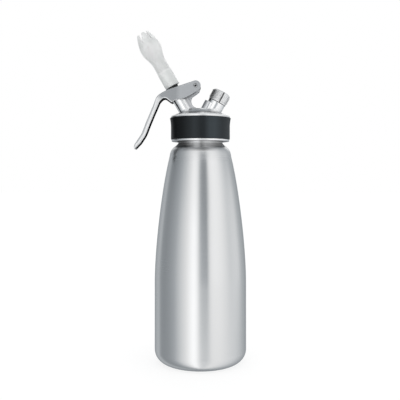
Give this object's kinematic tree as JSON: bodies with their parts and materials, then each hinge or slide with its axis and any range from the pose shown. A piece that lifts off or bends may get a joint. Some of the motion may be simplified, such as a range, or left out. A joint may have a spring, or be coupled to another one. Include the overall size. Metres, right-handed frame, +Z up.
{
  "type": "whipped cream dispenser",
  "caption": "Upright steel bottle with a screw-on head, squeeze lever, leaning prong-tipped nozzle and threaded gas charger inlet.",
  "frame": {"origin": "centre of the bottle's flat foot, where its axis meets the surface it stands on", "axes": "+Z up along the bottle's axis, -X towards the lever's handle and the nozzle, +X towards the charger inlet"},
  "size_m": [0.1183, 0.097, 0.3511],
  "materials": {
    "bottle_steel": "fine circular brushing, satin",
    "head_steel": "smooth satin, cast and polished",
    "lever_steel": "pressed sheet, satin",
    "turned_steel": "turned and polished",
    "turned_brass": "turned",
    "grip_silicone": "matt black silicone",
    "seal_rubber": "matt black",
    "nozzle_plastic": "translucent, softly glossy"
  },
  "bodies": {
    "vessel": {"bottle": "bottle_steel"},
    "head_seal": {"head_gasket": "seal_rubber"},
    "head": {"head_casting": "head_steel", "grip_sleeve": "grip_silicone", "lever_pin": "turned_steel", "valve_guide": "turned_brass", "valve_spring": "turned_steel", "inlet_stud": "turned_steel", "charger_gasket": "seal_rubber", "piercing_pin": "turned_steel", "gas_filter": "turned_brass", "pin_retainer": "turned_brass", "check_valve_sleeve": "seal_rubber"},
    "lever_arm": {"lever": "lever_steel"},
    "valve": {"valve_stem": "turned_steel", "stem_o_ring": "seal_rubber", "valve_seal": "seal_rubber", "seal_nut": "turned_steel", "nozzle_adapter": "turned_steel"},
    "nozzle_seal": {"nozzle_seal_ring": "seal_rubber"},
    "tip": {"nozzle": "nozzle_plastic"}
  },
  "joints": [
    {"name": "head_rise", "type": "slide", "parent": "vessel", "child": "head_seal", "axis": [0, 0, 1], "range_m": [0, 0.0106]},
    {"name": "head_turn", "type": "hinge", "parent": "head_seal", "child": "head", "pos_m": [0, 0, 0.245], "axis": [0, 0, 1], "range_deg": [0, 1080]},
    {"name": "lever_squeeze", "type": "hinge", "parent": "head", "child": "lever_arm", "pos_m": [-0.0052, 0, 0.2916], "axis": [0, -1, 0], "range_deg": [0, 10], "stiffness_Nm_per_rad": 2.5, "springref_deg": -8.59},
    {"name": "valve_stroke", "type": "slide", "parent": "head", "child": "valve", "axis": [0.5, 0, -0.866], "range_m": [0, 0.0026], "deforming": ["valve_spring"]},
    {"name": "nozzle_rise", "type": "slide", "parent": "valve", "child": "nozzle_seal", "axis": [-0.5, 0, 0.866], "range_m": [0, 0.0061]},
    {"name": "nozzle_turn", "type": "hinge", "parent": "nozzle_seal", "child": "tip", "pos_m": [-0.0295, 0, 0.2919], "axis": [-0.5, 0, 0.866], "range_deg": [0, 1440]}
  ],
  "couplings": [
    {"joint": "head_rise", "follows": "head_turn", "m_per_rad": 0.00055704},
    {"joint": "valve_stroke", "follows": "lever_squeeze", "m_per_rad": 0.0145},
    {"joint": "nozzle_rise", "follows": "nozzle_turn", "m_per_rad": 0.00023873}
  ]
}
